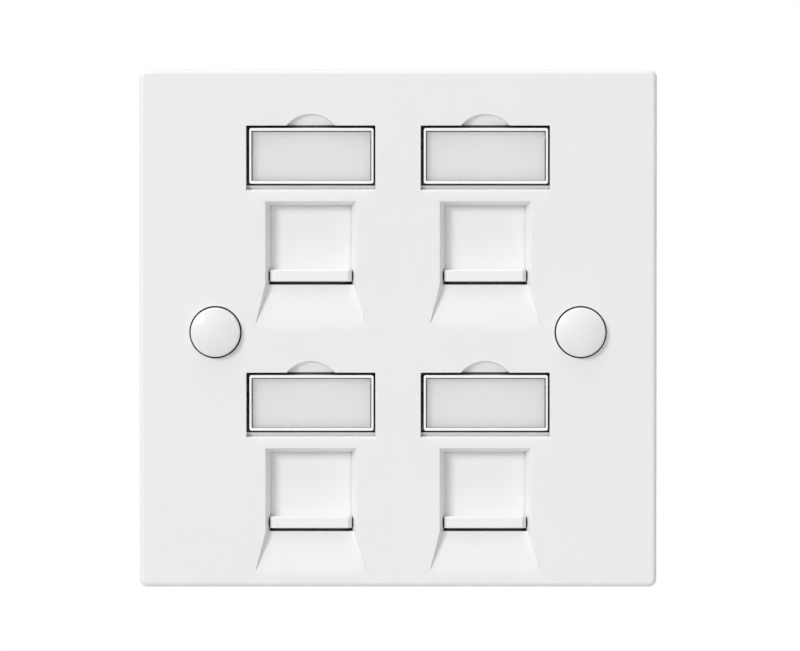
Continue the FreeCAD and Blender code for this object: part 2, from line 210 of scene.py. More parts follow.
def add(tree, kind, inputs=None, **settings):
    """Adds a node. An input, by name or place, is a value or the socket that feeds it."""
    node = tree.nodes.new(kind)
    for name, value in settings.items():
        setattr(node, name, value)
    for name, value in (inputs or {}).items():
        socket = live(node.inputs, name)
        if isinstance(value, bpy.types.NodeSocket):
            tree.links.new(value, socket)
        else:
            socket.default_value = value
    return node


def new_material(name):
    """A material without nodes, and its node tree."""
    material = bpy.data.materials.new(name)
    material.use_nodes = True
    material.node_tree.nodes.clear()
    return material, material.node_tree


def rgba(colour_value):
    """A colour with its alpha."""
    return (*colour_value, 1.0)


def shades(colour_value, darker, lighter):
    """A colour's dark and light shades, by shares of it, as a mix's inputs."""
    return {
        "A": rgba([c * (1 - darker) for c in colour_value]),
        "B": rgba([min(1.0, c * (1 + lighter)) for c in colour_value]),
    }


def paint_gap_shade(tree, body, roughness, gap):
    """A moulding's colour and roughness, as a shader's inputs: painted shade darkens the colour where walls
    close in, and the roughness rises to full there.
    """
    sky = add(tree, "ShaderNodeAmbientOcclusion", {"Distance": gap.reach}, samples=12)
    share = add(
        tree, "ShaderNodeMapRange",
        {"Value": sky.outputs["AO"], "From Min": gap.shut, "From Max": gap.clear},
        interpolation_type="SMOOTHSTEP",
    ).outputs["Result"]
    # painted shade: the gap colour takes over the body colour as the open share of the sky falls
    dark = rgba(colours().gap)
    tint = add(tree, "ShaderNodeMix", {"Factor": share, "A": dark, "B": body}, data_type="RGBA")
    dulling = add(tree, "ShaderNodeMix", {"Factor": share, "A": 1.0, "B": roughness}, data_type="FLOAT")
    return {"Base Color": live(tint.outputs, "Result"), "Roughness": live(dulling.outputs, "Result")}


def let_through(tree, shader, share):
    """A shader that lets a share of the light straight through the plastic."""
    passing = add(tree, "ShaderNodeBsdfTransparent", {"Color": rgba(colours().window)})
    mix = add(tree, "ShaderNodeMixShader", {"Fac": share, 1: shader, 2: passing.outputs["BSDF"]})
    return mix.outputs["Shader"]


# ---- materials ----
def moulded_abs(name, body_colour, roughness, grain, gap):
    """ABS off a spark-eroded tool: an even white whose fine grain keeps highlights soft and dull, with
    painted shade in its gaps.
    """
    material, tree = new_material(name)
    place = add(tree, "ShaderNodeTexCoord").outputs["Object"]
    flow = add(tree, "ShaderNodeTexNoise", {"Vector": place, "Scale": 1 / FLOW_SHADE, "Detail": 2.0})
    mix = {"Factor": flow.outputs["Fac"]} | shades(body_colour, darker=0.012, lighter=0.012)
    body = live(add(tree, "ShaderNodeMix", mix, data_type="RGBA").outputs, "Result")
    pits = add(tree, "ShaderNodeTexNoise", {"Vector": place, "Scale": 1 / grain, "Detail": 3.0})
    relief = {"Height": pits.outputs["Fac"], "Strength": 0.25, "Distance": 0.01 * MM}
    bump = add(tree, "ShaderNodeBump", relief)
    spread = 0.05
    gloss = add(
        tree, "ShaderNodeMapRange",
        {"Value": pits.outputs["Fac"], "To Min": roughness - spread, "To Max": roughness + spread},
    )
    shader = add(
        tree, "ShaderNodeBsdfPrincipled",
        paint_gap_shade(tree, body, gloss.outputs["Result"], gap)
        | {"IOR": ABS_IOR, "Normal": bump.outputs["Normal"]},
    )
    add(tree, "ShaderNodeOutputMaterial", {"Surface": shader.outputs["BSDF"]})
    return material


def polished_abs(name, body_colour, gap):
    """ABS off a polished tool: a smooth white with a soft bright highlight and a faint flow wave, and
    painted shade in its gaps.
    """
    material, tree = new_material(name)
    place = add(tree, "ShaderNodeTexCoord").outputs["Object"]
    wave = add(tree, "ShaderNodeTexNoise", {"Vector": place, "Scale": 1 / POLISH_WAVE, "Detail": 1.0})
    relief = {"Height": wave.outputs["Fac"], "Strength": 0.2, "Distance": 0.02 * MM}
    bump = add(tree, "ShaderNodeBump", relief)
    gloss = add(tree, "ShaderNodeMapRange", {"Value": wave.outputs["Fac"], "To Min": 0.2, "To Max": 0.3})
    shader = add(
        tree, "ShaderNodeBsdfPrincipled",
        paint_gap_shade(tree, rgba(body_colour), gloss.outputs["Result"], gap)
        | {"IOR": ABS_IOR, "Normal": bump.outputs["Normal"]},
    )
    add(tree, "ShaderNodeOutputMaterial", {"Surface": shader.outputs["BSDF"]})
    return material


def clear_polycarbonate():
    """Clear polycarbonate: the card shows through it, under a faint sheen. Lamps shine through it."""
    material, tree = new_material("clear_polycarbonate")
    place = add(tree, "ShaderNodeTexCoord").outputs["Object"]
    wave = add(tree, "ShaderNodeTexNoise", {"Vector": place, "Scale": 1 / WINDOW_WAVE, "Detail": 1.0})
    relief = {"Height": wave.outputs["Fac"], "Strength": 0.1, "Distance": 0.01 * MM}
    bump = add(tree, "ShaderNodeBump", relief)
    glass = add(
        tree, "ShaderNodeBsdfPrincipled",
        {
            "Base Color": rgba(colours().window), "Roughness": 0.04, "IOR": POLYCARBONATE_IOR,
            "Transmission Weight": 1.0, "Normal": bump.outputs["Normal"],
        },
    )
    rays = add(tree, "ShaderNodeLightPath").outputs
    lit = add(
        tree, "ShaderNodeMath", {0: rays["Is Shadow Ray"], 1: rays["Is Diffuse Ray"]}, operation="MAXIMUM"
    )
    shader = let_through(tree, glass.outputs["BSDF"], lit.outputs["Value"])
    add(tree, "ShaderNodeOutputMaterial", {"Surface": shader})
    return material


def frosted_polycarbonate(name, gap=None):
    """Polycarbonate off a blasted tool: the rim scatters light and reads as a bright white frame.

    Most of a lamp's light passes the thin rim, so that its shadow stays faint.
    """
    material, tree = new_material(name)
    place = add(tree, "ShaderNodeTexCoord").outputs["Object"]
    frost = add(tree, "ShaderNodeTexNoise", {"Vector": place, "Scale": 1 / FROST, "Detail": 2.0})
    relief = {"Height": frost.outputs["Fac"], "Strength": 0.2, "Distance": 0.01 * MM}
    bump = add(tree, "ShaderNodeBump", relief)
    surface = {"Base Color": rgba(colours().rim), "Roughness": 0.45}
    # painted shade: with gap settings, the rim's colour darkens where walls close in
    if gap:
        surface = paint_gap_shade(tree, surface["Base Color"], surface["Roughness"], gap)
    surface |= {"IOR": POLYCARBONATE_IOR, "Normal": bump.outputs["Normal"]}
    frosted = add(tree, "ShaderNodeBsdfPrincipled", surface)
    rays = add(tree, "ShaderNodeLightPath").outputs
    share = add(tree, "ShaderNodeMath", {0: rays["Is Shadow Ray"], 1: RIM_PASSES}, operation="MULTIPLY")
    shader = let_through(tree, frosted.outputs["BSDF"], share.outputs["Value"])
    add(tree, "ShaderNodeOutputMaterial", {"Surface": shader})
    return material


def uncoated_card():
    """Uncoated card: a dull off-white with short fibres lying along it."""
    material, tree = new_material("uncoated_card")
    place = add(tree, "ShaderNodeTexCoord").outputs["Object"]
    along = add(tree, "ShaderNodeMapping", {"Vector": place, "Scale": (1.0, 1.0, FIBRE_SHAPE)})
    pattern = {"Vector": along.outputs["Vector"], "Scale": 1 / FIBRE, "Detail": 5.0}
    fibre = add(tree, "ShaderNodeTexNoise", pattern)
    mix = {"Factor": fibre.outputs["Fac"]} | shades(colours().card, darker=0.02, lighter=0.02)
    body = add(tree, "ShaderNodeMix", mix, data_type="RGBA")
    relief = {"Height": fibre.outputs["Fac"], "Strength": 0.3, "Distance": 0.02 * MM}
    bump = add(tree, "ShaderNodeBump", relief)
    shader = add(
        tree, "ShaderNodeBsdfPrincipled",
        {
            "Base Color": live(body.outputs, "Result"), "Roughness": 0.9, "IOR": 1.45,
            "Normal": bump.outputs["Normal"],
        },
    )
    add(tree, "ShaderNodeOutputMaterial", {"Surface": shader.outputs["BSDF"]})
    return material


def drawn_steel(name, body_colour, roughness, streak):
    """Bright steel: grey, metallic, with fine streaks or plating grain that break up its reflections."""
    material, tree = new_material(name)
    place = add(tree, "ShaderNodeTexCoord").outputs["Object"]
    grain = add(tree, "ShaderNodeTexNoise", {"Vector": place, "Scale": 1 / streak, "Detail": 3.0})
    spread = 0.08
    gloss = add(
        tree, "ShaderNodeMapRange",
        {"Value": grain.outputs["Fac"], "To Min": roughness - spread, "To Max": roughness + spread},
    )
    mix = {"Factor": grain.outputs["Fac"]} | shades(body_colour, darker=0.1, lighter=0.08)
    body = add(tree, "ShaderNodeMix", mix, data_type="RGBA")
    relief = {"Height": grain.outputs["Fac"], "Strength": 0.15, "Distance": 0.01 * MM}
    bump = add(tree, "ShaderNodeBump", relief)
    shader = add(
        tree, "ShaderNodeBsdfPrincipled",
        {
            "Base Color": live(body.outputs, "Result"), "Metallic": 1.0,
            "Roughness": gloss.outputs["Result"], "Normal": bump.outputs["Normal"],
        },
    )
    add(tree, "ShaderNodeOutputMaterial", {"Surface": shader.outputs["BSDF"]})
    return material


# ---- meshes ----
def placed(name, mesh, materials):
    """A new object at the origin that shows a mesh."""
    piece = bpy.data.objects.new(name, mesh)
    bpy.context.scene.collection.objects.link(piece)
    if materials:
        piece.data.materials.clear()
        for material in materials:
            piece.data.materials.append(material)
    return piece


def evaluated(piece):
    """The mesh of an object with its modifiers applied. The object itself is removed."""
    graph = bpy.context.evaluated_depsgraph_get()
    mesh = bpy.data.meshes.new_from_object(piece.evaluated_get(graph))
    bpy.data.objects.remove(piece)
    return mesh


def hand_over(piece, body, node):
    """Sets a finished piece on its body, in place of its CAD node, which it hides."""
    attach(piece, body)
    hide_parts(node)


def sharp(edge):
    """Whether two faces meet at an edge at more than the least sharp angle."""
    return len(edge.link_faces) == 2 and edge.calc_face_angle() > SHARP


def square_places(form, axis):
    """Places along an axis, a cell or more apart, where long sharp edges stand square to it."""
    found = sorted(
        edge.verts[0].co[axis]
        for edge in form.edges
        if sharp(edge)
        and edge.calc_length() > CELL_LINE
        and abs(edge.verts[0].co[axis] - edge.verts[1].co[axis]) < SQUARE
    )
    kept = []
    for place in found:
        if not kept or place - kept[-1] > CELL:
            kept.append(place)
    return kept


def cut_in_cells(form):
    """Cuts a form across in line with its long sharp edges, and marks the cuts as seams."""
    places = {axis: square_places(form, axis) for axis in (0, 2)}
    for axis, along in places.items():
        normal = Vector([float(axis == way) for way in range(3)])
        for place in along:
            whole = [*form.verts, *form.edges, *form.faces]
            result = bmesh.ops.bisect_plane(
                form, geom=whole, dist=CUT_SNAP, plane_co=normal * place, plane_no=normal
            )
            for part in result["geom_cut"]:
                if isinstance(part, bmesh.types.BMEdge):
                    part.seam = True


def made_whole(form):
    """Joins the flat neighbours of a form's faces, up to its seams."""
    bmesh.ops.dissolve_limit(
        form, angle_limit=FLAT, use_dissolve_boundaries=False, verts=form.verts, edges=form.edges,
        delimit={"SEAM"},
    )


def beside(points, line):
    """The distances from an edge to those points that lie beside it."""
    start, end = (vert.co for vert in line.verts)
    feet = [(point, *intersect_point_line(point, start, end)) for point in points]
    return [(point - foot).length for point, foot, share in feet if -ALONG < share < 1 + ALONG]


def room_beside(line, sharp_lines, most):
    """The room, up to most, from an edge to the sharp edges of its faces, but for the steps of an arc."""
    rooms = [most]
    if line.calc_length() > most:
        for other in {other for face in line.link_faces for other in face.edges} & sharp_lines:
            if other.calc_length() > most and not set(line.verts) & set(other.verts):
                rooms += beside([vert.co for vert in line.verts], other)
                rooms += beside([vert.co for vert in other.verts], line)
    return min(rooms)


def free_edges(form, width):
    """Takes the seam off each cell's side that would leave a sharp edge no room to be rounded."""
    sharp_lines = {line for line in form.edges if sharp(line)}
    room = CELL_ROOM * width
    for line in form.edges:
        if line.seam and line not in sharp_lines:
            line.seam = room_beside(line, sharp_lines, room) == room


def weigh_edges(form, width):
    """Sets how much of its rounding each sharp edge gets, which is less where another one is near."""
    weight = form.edges.layers.float.new("bevel_weight_edge")
    sharp_lines = {line for line in form.edges if sharp(line)}
    room = EDGE_ROOM * width
    for line in sharp_lines:
        line[weight] = room_beside(line, sharp_lines, room) / room


def mesh_of(form, name):
    """The mesh of a form, which is used up."""
    mesh = bpy.data.meshes.new(name)
    form.to_mesh(mesh)
    form.free()
    return mesh


def softened(node, width, segments=3):
    """A CAD solid's mesh, with its flats whole again and laid out in cells, and its sharp edges rounded."""
    form = bmesh.new()
    form.from_mesh(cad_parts[node].data)
    bmesh.ops.remove_doubles(form, verts=form.verts, dist=SAME_POINT)
    cut_in_cells(form)
    made_whole(form)
    free_edges(form, width)
    made_whole(form)
    weigh_edges(form, width)
    for face in form.faces:
        face.smooth = True
    for line in form.edges:
        line.seam = False
    piece = placed(node + "_softened", mesh_of(form, node + "_softened"), [])
    bevel = piece.modifiers.new("edges", "BEVEL")
    bevel.width = width
    bevel.segments = segments
    bevel.limit_method = "WEIGHT"
    bevel.use_clamp_overlap = False
    bevel.miter_outer = "MITER_ARC"
    normals = piece.modifiers.new("normals", "WEIGHTED_NORMAL")
    normals.weight = 50
    return evaluated(piece)


def lathed(name, outline, centre, segments=96):
    """A closed outline of (radius, y) turned round the y axis through centre."""
    form = bmesh.new()
    turns = [2 * math.pi * step / segments for step in range(segments)]
    rings = []
    for radius, y in outline:
        offsets = [(0, 0)]
        if radius:
            offsets = [(radius * math.cos(turn), radius * math.sin(turn)) for turn in turns]
        rings.append([form.verts.new((centre.x + x, y, centre.z + z)) for x, z in offsets])
    for first, second in zip(rings, rings[1:] + rings[:1]):
        if len(first) == len(second) == 1:
            continue
        for step in range(segments):
            after = (step + 1) % segments
            corners = [
                first[step % len(first)], first[after % len(first)],
                second[after % len(second)], second[step % len(second)],
            ]
            form.faces.new(dict.fromkeys(corners))
    bmesh.ops.recalc_face_normals(form, faces=form.faces)
    for face in form.faces:
        face.smooth = True
    return mesh_of(form, name)


def arc(centre, radius, start, end, steps):
    """Points (radius, y) on an arc, whose angles in degrees start at the +radius axis towards +y."""
    turns = [math.radians(start + (end - start) * step / steps) for step in range(steps + 1)]
    return [(centre[0] + radius * math.cos(t), centre[1] + radius * math.sin(t)) for t in turns]


def drawn_out(name, ends):
    """A closed form between two outlines of the same count of points."""
    form = bmesh.new()
    first, second = ([form.verts.new(point) for point in end] for end in ends)
    for step in range(len(first)):
        after = (step + 1) % len(first)
        form.faces.new((first[step], first[after], second[after], second[step]))
    form.faces.new(first)
    form.faces.new(second)
    bmesh.ops.recalc_face_normals(form, faces=form.faces)
    return mesh_of(form, name)


def combined(name, mesh, other, operation):
    """A mesh with another joined to it or cut from it."""
    piece = placed(name, mesh, [])
    tool = placed(name + "_tool", other, [])
    boolean = piece.modifiers.new("combined", "BOOLEAN")
    boolean.operation = operation
    boolean.solver = "EXACT"
    boolean.object = tool
    result = evaluated(piece)
    bpy.data.objects.remove(tool)
    return result


def creased(mesh):
    """A mesh shaded smooth up to its sharp edges."""
    form = bmesh.new()
    form.from_mesh(mesh)
    bmesh.ops.remove_doubles(form, verts=form.verts, dist=SAME_POINT)
    bmesh.ops.recalc_face_normals(form, faces=form.faces)
    for face in form.faces:
        face.smooth = True
    for line in form.edges:
        line.smooth = not sharp(line)
    form.to_mesh(mesh)
    form.free()
    return mesh


# ---- springs and threads ----
HELIX_INPUTS = {
    "Turns": "NodeSocketFloat", "Steps a turn": "NodeSocketInt", "Radius": "NodeSocketFloat",
    "Length": "NodeSocketFloat", "Closed turns": "NodeSocketFloat", "Closed pitch": "NodeSocketFloat",
    "Section sides": "NodeSocketInt", "Section width": "NodeSocketFloat",
    "Section height": "NodeSocketFloat", "Place": "NodeSocketVector", "Turned": "NodeSocketRotation",
    "Material": "NodeSocketMaterial",
}
# Each sum's name, what it does, and its terms: inputs, earlier sums or numbers.
HELIX_SUMS = (
    ("steps", "MULTIPLY", "Turns", "Steps a turn"),
    ("points", "ADD", "steps", 1.0),
    ("wound", "DIVIDE", "index", "Steps a turn"),
    ("angle", "MULTIPLY", "wound", 2 * math.pi),
    ("both closed", "MULTIPLY", "Closed turns", 2.0),
    ("open turns", "SUBTRACT", "Turns", "both closed"),
    ("closed rise", "MULTIPLY", "both closed", "Closed pitch"),
    ("open rise", "SUBTRACT", "Length", "closed rise"),
    ("open pitch", "DIVIDE", "open rise", "open turns"),
    ("past first", "SUBTRACT", "wound", "Closed turns"),
    ("past closed", "MAXIMUM", "past first", 0.0),
    ("in open", "MINIMUM", "past closed", "open turns"),
    ("in closed", "SUBTRACT", "wound", "in open"),
    ("risen open", "MULTIPLY", "in open", "open pitch"),
    ("risen closed", "MULTIPLY", "in closed", "Closed pitch"),
    ("rise", "ADD", "risen open", "risen closed"),
    ("cosine", "COSINE", "angle"),
    ("sine", "SINE", "angle"),
    ("x", "MULTIPLY", "Radius", "cosine"),
    ("y", "MULTIPLY", "Radius", "sine"),
)


def helix_tree():
    """A node tree that sweeps a section along a helix, with turns that close up at both ends."""
    tree = bpy.data.node_groups.new("wound_helix", "GeometryNodeTree")
    for name, kind in HELIX_INPUTS.items():
        tree.interface.new_socket(name, in_out="INPUT", socket_type=kind)
    tree.interface.new_socket("Mesh", in_out="OUTPUT", socket_type="NodeSocketGeometry")
    values = dict(add(tree, "NodeGroupInput").outputs.items())
    values["index"] = add(tree, "GeometryNodeInputIndex").outputs["Index"]
    for name, operation, *terms in HELIX_SUMS:
        feeds = {place: values.get(term, term) for place, term in enumerate(terms)}
        values[name] = add(tree, "ShaderNodeMath", feeds, operation=operation).outputs["Value"]

    line = add(tree, "GeometryNodeCurvePrimitiveLine").outputs["Curve"]
    points = add(tree, "GeometryNodeResampleCurve", {"Curve": line, "Count": values["points"]})
    where = add(tree, "ShaderNodeCombineXYZ", {"X": values["x"], "Y": values["y"], "Z": values["rise"]})
    path = add(
        tree, "GeometryNodeSetPosition",
        {"Geometry": points.outputs["Curve"], "Position": where.outputs["Vector"]},
    )
    upright = add(tree, "GeometryNodeSetCurveNormal", {"Curve": path.outputs["Geometry"]}, mode="Z_UP")
    unit = {"Resolution": values["Section sides"], "Radius": 0.5}
    circle = add(tree, "GeometryNodeCurvePrimitiveCircle", unit)
    stretch = add(
        tree, "ShaderNodeCombineXYZ",
        {"X": values["Section height"], "Y": values["Section width"], "Z": 1.0},
    )
    section = add(
        tree, "GeometryNodeTransform",
        {"Geometry": circle.outputs["Curve"], "Scale": stretch.outputs["Vector"]},
    )
    swept = add(
        tree, "GeometryNodeCurveToMesh",
        {
            "Curve": upright.outputs["Curve"], "Profile Curve": section.outputs["Geometry"],
            "Fill Caps": True,
        },
    )
    set_in = add(
        tree, "GeometryNodeTransform",
        {"Geometry": swept.outputs["Mesh"], "Translation": values["Place"], "Rotation": values["Turned"]},
    )
    real = add(tree, "GeometryNodeRealizeInstances", {"Geometry": set_in.outputs["Geometry"]})
    dressed = add(
        tree, "GeometryNodeSetMaterial",
        {"Geometry": real.outputs["Geometry"], "Material": values["Material"]},
    )
    add(tree, "NodeGroupOutput", {"Mesh": dressed.outputs["Geometry"]})
    return tree


def from_tree(name, tree, **values):
    """The mesh that a node tree makes from its named inputs."""
    piece = placed(name, bpy.data.meshes.new(name), [])
    modifier = piece.modifiers.new("nodes", "NODES")
    modifier.node_group = tree
    for item in tree.interface.items_tree:
        key = item.name.replace(" ", "_").lower()
        if item.in_out == "INPUT" and key in values:
            modifier[item.identifier] = values[key]
    mesh = evaluated(piece)
    for face in mesh.polygons:
        face.use_smooth = True
    return mesh


# ---- pieces ----
FACE_SKIN = 0.01 * MM  # a face of the plate nearer to its front than this isn't in a groove


def in_groove(at, face_y, windows):
    """Whether a point is in the finger groove below one of the label windows."""
    return any(
        low.x < at.x < high.x
        and 0 < low.z - sizes().groove_foot - at.z < sizes().groove
        and face_y + FACE_SKIN < at.y < high.y
        for low, high in windows
    )


class FACEPLATE_OT_plate(bpy.types.Operator):
    """Makes the moulded front plate, with painted shade in its gaps that stays weaker in its shallow finger
    grooves
    """

    bl_idname = "faceplate.plate"
    bl_label = "Front Plate"

    def execute(self, context):
        finish = {"body_colour": colours().plate, "roughness": 0.42, "grain": 0.12 * MM}
        # painted shade: the plate darkens in its gaps, and less in the finger grooves below the windows
        gap = PaintedGapShade(reach=2.0 * MM, shut=0.22, clear=0.42)
        groove = PaintedGapShade(reach=2.0 * MM, shut=0.05, clear=0.20)
        materials = [
            moulded_abs("satin_moulded_abs", **finish, gap=gap),
            moulded_abs("satin_moulded_abs_in_groove", **finish, gap=groove),
        ]
        piece = placed("plate_moulding", softened("front_plate", sizes().plate_edge), materials)
        face_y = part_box("front_plate")[0].y
        windows = [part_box(f"label_window_{port}") for port in PORTS]
        for face in piece.data.polygons:
            face.material_index = int(in_groove(face.center, face_y, windows))
        hand_over(piece, "plate", "front_plate")
        return {"FINISHED"}


class FACEPLATE_OT_shutters(bpy.types.Operator):
    """Makes the sliding shutters"""

    bl_idname = "faceplate.shutters"
    bl_label = "Shutters"

    def execute(self, context):
        # painted shade: the shutters darken in the narrow gaps beside their lips and the port walls
        gap = PaintedGapShade(reach=1.0 * MM, shut=0.1, clear=0.3)
        material = moulded_abs(
            "fine_moulded_abs", colours().shutter, roughness=0.38, grain=0.1 * MM, gap=gap
        )
        for port in PORTS:
            mesh = softened(f"shutter_{port}", sizes().shutter_edge)
            piece = placed(f"shutter_door_{port}", mesh, [material])
            hand_over(piece, f"shutter_{port}", f"shutter_{port}")
        return {"FINISHED"}


COIL_TOUCH = 1.02  # pitch of a spring's closed turns, in widths of its wire


class FACEPLATE_OT_springs(bpy.types.Operator):
    """Winds the shutter springs"""

    bl_idname = "faceplate.springs"
    bl_label = "Shutter Springs"

    def execute(self, context):
        material = drawn_steel("drawn_spring_steel", colours().spring, roughness=0.3, streak=0.2 * MM)
        tree = helix_tree()
        s = sizes()
        for port in PORTS:
            low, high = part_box(f"shutter_spring_{port}")
            middle = (low + high) / 2
            mesh = from_tree(
                f"coil_{port}", tree, turns=s.coil_turns, steps_a_turn=20,
                radius=(high.y - low.y - s.wire) / 2, length=high.z - low.z - s.wire,
                closed_turns=s.closed_turns, closed_pitch=s.wire * COIL_TOUCH, section_sides=8,
                section_width=s.wire, section_height=s.wire,
                place=(middle.x, middle.y, low.z + s.wire / 2), material=material,
            )
            piece = placed(f"coil_spring_{port}", mesh, [material])
            hand_over(piece, "plate", f"shutter_spring_{port}")
            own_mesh(piece)
        return {"FINISHED"}


class FACEPLATE_OT_carriers(bpy.types.Operator):
    """Makes the jack carriers behind the plate"""

    bl_idname = "faceplate.carriers"
    bl_label = "Jack Carriers"

    def execute(self, context):
        # painted shade: the carriers darken where the plate and shutters close in on them, as behind the
        # slots
        gap = PaintedGapShade(reach=1.5 * MM, shut=0.12, clear=0.30)
        material = moulded_abs(
            "plain_moulded_abs", colours().carrier, roughness=0.5, grain=0.2 * MM, gap=gap
        )
        for port in PORTS:
            mesh = softened(f"jack_carrier_{port}", sizes().carrier_edge, segments=2)
            piece = placed(f"jack_bay_{port}", mesh, [material])
            hand_over(piece, "plate", f"jack_carrier_{port}")
        return {"FINISHED"}


LUG_START = 0.5 * MM  # a label window's lugs begin at least this far behind its front
NIB_START = 1.2 * MM  # and its card nib this far
RIM_SKIN = 0.005 * MM  # how far the clear pane's faces reach past its edge


class FACEPLATE_OT_windows(bpy.types.Operator):
    """Makes the clear label windows with their frosted rims, and painted shade on their faces in the
    recesses' gaps
    """

    bl_idname = "faceplate.windows"
    bl_label = "Label Windows"

    def execute(self, context):
        # painted shade: the window's sides, lugs and back darken in the gaps round it
        gap = PaintedGapShade(reach=2.0 * MM, shut=0.3, clear=0.5)
        clear, frosted, frosted_painted_shade = range(3)
        materials = [
            clear_polycarbonate(),
            frosted_polycarbonate("frosted_polycarbonate"),
            frosted_polycarbonate("frosted_polycarbonate_in_gap", gap),
        ]
        s = sizes()
        for port in PORTS:
            node = f"label_window_{port}"
            mesh = softened(node, s.window_edge, segments=2)
            piece = placed(f"clear_window_{port}", mesh, materials)
            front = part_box(node)[0].y
            ahead_of_lugs = [v.co for v in mesh.vertices if v.co.y < front + LUG_START]
            left, right = min(co.x for co in ahead_of_lugs), max(co.x for co in ahead_of_lugs)
            foot, top = min(co.z for co in ahead_of_lugs), max(co.z for co in ahead_of_lugs)
            side, rim = s.window_side_rim - RIM_SKIN, s.window_rim - RIM_SKIN
            pane_left, pane_right = left + side, right - side
            pane_foot, pane_top = foot + rim, top - rim
            nib = pane_right - s.nib - 2 * RIM_SKIN
            for face in mesh.polygons:
                at = face.center
                in_pane = pane_left < at.x < pane_right and pane_foot < at.z < pane_top
                on_nib = in_pane and at.x > nib and at.y > front + NIB_START
                if in_pane and not on_nib:
                    face.material_index = clear
                elif on_nib or (face.normal.y < -FACING and left < at.x < right):
                    face.material_index = frosted
                else:
                    face.material_index = frosted_painted_shade
            hand_over(piece, node, node)
        return {"FINISHED"}


class FACEPLATE_OT_cards(bpy.types.Operator):
    """Gives the label cards their paper"""

    bl_idname = "faceplate.cards"
    bl_label = "Label Cards"

    def execute(self, context):
        material = uncoated_card()
        for port in PORTS:
            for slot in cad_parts[f"label_card_{port}"].material_slots:
                slot.material = material
        return {"FINISHED"}


CAP_LEAD = 0.15 * MM  # bevel at the foot of a screw cap's skirt
RIBS = 3  # crush ribs on a screw cap's skirt
RIB_SINK = 0.02 * MM  # how far a crush rib's upper end lies inside the skirt's wall


def cap_outline(outer, front, face, back):
    """Half a screw cap's section, as (radius, y): its crown, shoulder, skirt and underside."""
    s = sizes()
    flat = outer - s.cap_round
    dome = (flat**2 + s.cap_dome**2) / (2 * s.cap_dome)
    end = math.degrees(math.asin(flat / dome)) - 90
    shoulder = (flat, front + s.cap_dome + s.cap_round)
    inner, underside = outer - s.cap_skirt, face + s.cap_skin
    outline = [(0, front)] + arc((0, front + dome), dome, -90, end, steps=12)[1:]
    outline += arc(shoulder, s.cap_round, end, 0, steps=8)[1:]
    outline += [(outer, back - CAP_LEAD), (outer - CAP_LEAD, back)]
    return outline + [(inner, back), (inner, underside), (0, underside)]


def crush_rib(centre, turn, root, tips):
    """A rib on a screw cap's skirt, from the radius of its root to a tip, (y, radius), at each end."""
    out = Vector((math.cos(turn), 0, math.sin(turn)))
    across = Vector((-out.z, 0, out.x)) * sizes().cap_rib / 2
    ends = []
    for y, tip in tips:
        inner = centre + Vector((0, y, 0)) + out * root
        outer = centre + Vector((0, y, 0)) + out * tip
        ends.append([inner - across, inner + across, outer + across / 2, outer - across / 2])
    return drawn_out("crush_rib", ends)


class FACEPLATE_OT_caps(bpy.types.Operator):
    """Turns the domed screw caps and adds their crush ribs"""

    bl_idname = "faceplate.caps"
    bl_label = "Screw Caps"

    def execute(self, context):
        # painted shade: the caps darken in the ring gap round them
        gap = PaintedGapShade(reach=2.0 * MM, shut=0.2, clear=0.4)
        material = polished_abs("polished_abs", colours().cap, gap)
        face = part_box("front_plate")[0].y
        for side in SIDES:
            low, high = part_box(f"screw_cap_{side}")
            outer = (high.x - low.x) / 2
            centre = Vector(((low.x + high.x) / 2, 0, high.z - outer))
            mesh = lathed(f"cap_{side}", cap_outline(outer, low.y, face, high.y), centre)
            root = outer - sizes().cap_skirt / 2
            tips = [((high.y + face) / 2, outer - RIB_SINK), (high.y - CAP_LEAD, centre.z - low.z)]
            for rib in range(RIBS):
                turn = math.radians(360 / RIBS * rib - 90)
                mesh = combined(f"cap_{side}_{rib}", mesh, crush_rib(centre, turn, root, tips), "UNION")
            piece = placed(f"domed_cap_{side}", creased(mesh), [material])
            hand_over(piece, f"screw_cap_{side}", f"screw_cap_{side}")
        return {"FINISHED"}


POINT_TAPER = 0.3 * MM  # how much a screw's point narrows
CROSS_FOOT = 0.45  # share of a cross recess's length left at its foot
THREAD_FLANKS = 0.9  # share of the thread's pitch that its flanks take up


def screw_outline(front, back):
    """Half a screw's section, as (radius, y): its head, its neck, the core of its thread and its point."""
    s = sizes()
    head, neck = s.head_width / 2, s.neck_width / 2
    core = s.thread_width / 2 - s.thread_depth
    seat = front + s.head_height
    start = seat + s.neck_length
    brow = (head - s.head_round, front + s.head_round)
    outline = [(0, front)] + arc(brow, s.head_round, -90, 0, steps=10)
    outline += [(head, seat), (neck, seat), (neck, start), (core, start + neck - core)]
    return outline + [(core, back - s.screw_point), (core - POINT_TAPER, back), (0, back)]


def cross_recess(centre, front):
    """The tapering cross that a screwdriver enters, to be cut from a screw's head."""
    s = sizes()
    ends = []
    for y, share in ((front, 1.0), (front + s.cross_depth, CROSS_FOOT)):
        long, wide = s.cross_length / 2 * share, s.cross_width / 2 * (0.5 + share / 2)
        arm = [(long, -wide), (long, wide), (wide, wide)]
        points = []
        for _ in ("right", "up", "left", "down"):
            points += [centre + Vector((x, y, z)) for x, z in arm]
            arm = [(-z, x) for x, z in arm]
        ends.append(points)
    return drawn_out("cross", ends)


